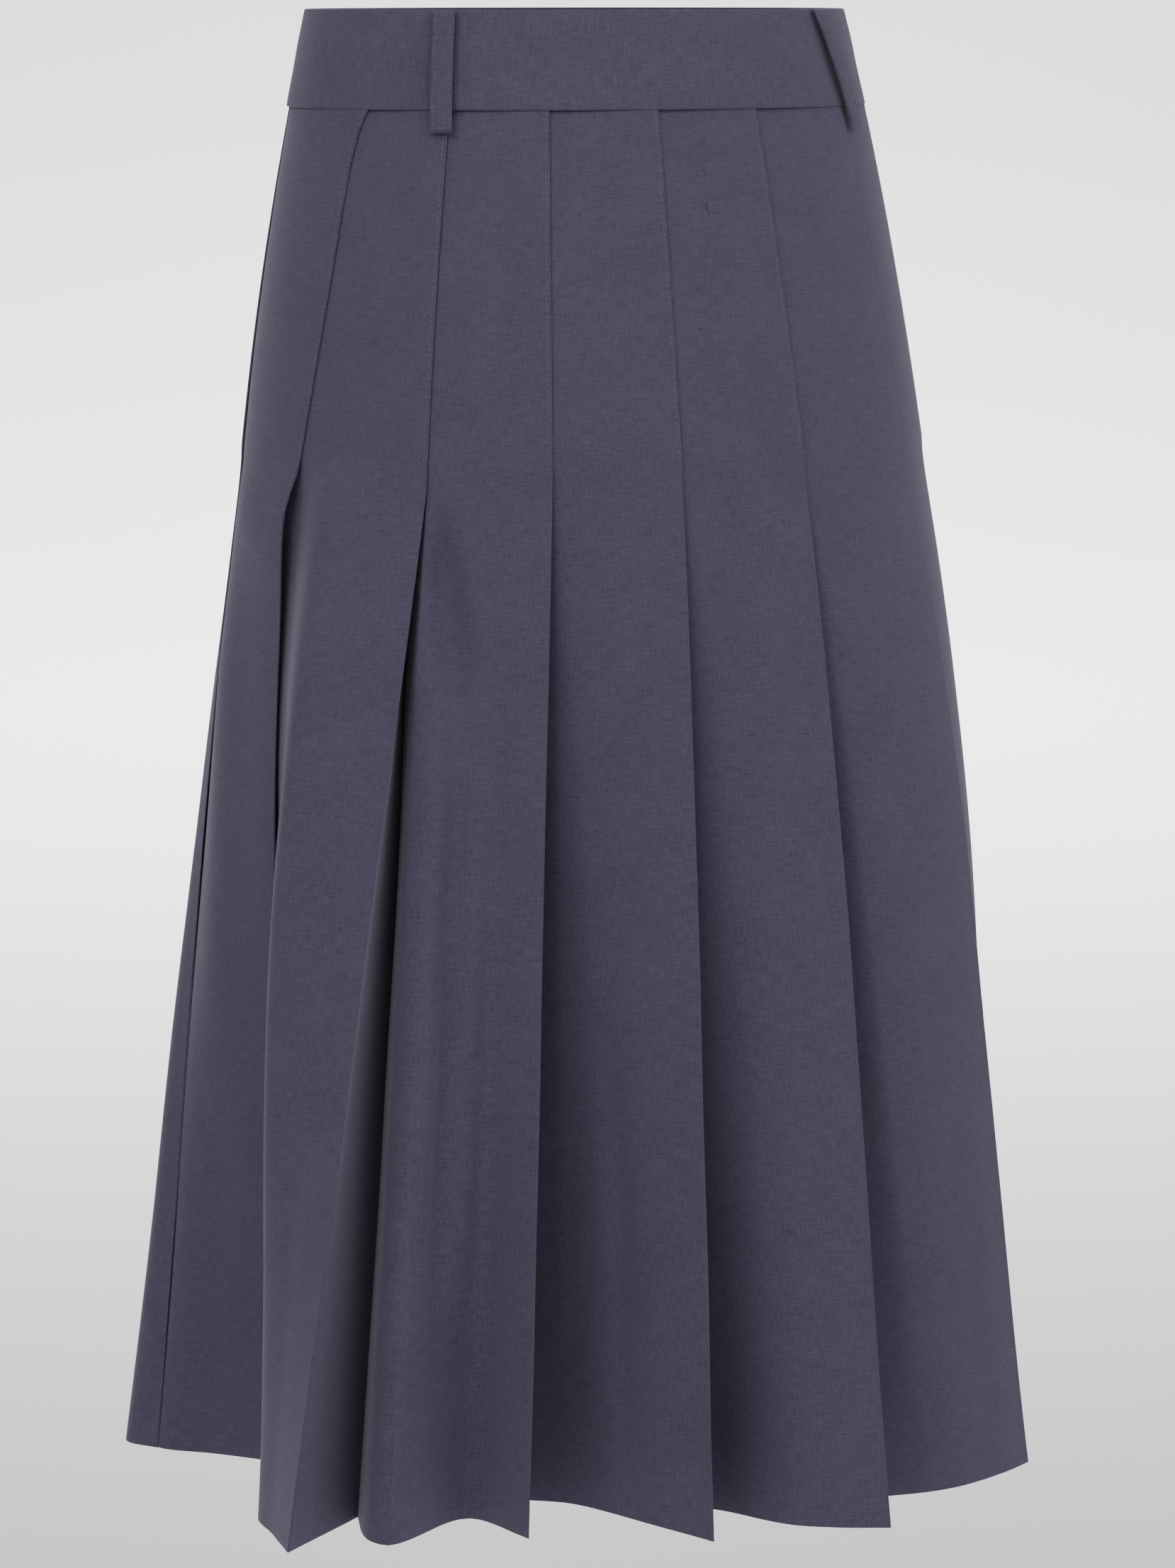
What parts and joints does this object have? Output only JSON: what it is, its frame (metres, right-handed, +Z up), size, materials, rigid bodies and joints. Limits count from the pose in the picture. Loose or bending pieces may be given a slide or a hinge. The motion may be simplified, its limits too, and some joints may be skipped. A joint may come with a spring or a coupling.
{
  "type": "pleated midi skirt",
  "caption": "Worn, empty midi-length skirt of knife pleats, edge-stitched over the hips and released below, hanging from a plain waistband with belt loops.",
  "frame": {"origin": "centre of the waist opening, in the plane of the waistband's top edge, where the wearer's waist holds the skirt up", "axes": "+Z up, towards the wearer's torso; -Y the centre front; +X to the right as seen from the front"},
  "size_m": [0.4484, 0.3906, 0.73],
  "materials": {
    "cloth": "matte dark aubergine-navy plain weave, slightly heathered"
  },
  "bodies": {
    "root": {"waistband": "cloth", "pleated_front": "cloth", "pleated_back": "cloth", "belt_loop_front_left": "cloth", "belt_loop_front_right": "cloth", "belt_loop_back_right": "cloth", "belt_loop_back_centre": "cloth", "belt_loop_back_left": "cloth"}
  },
  "joints": []
}
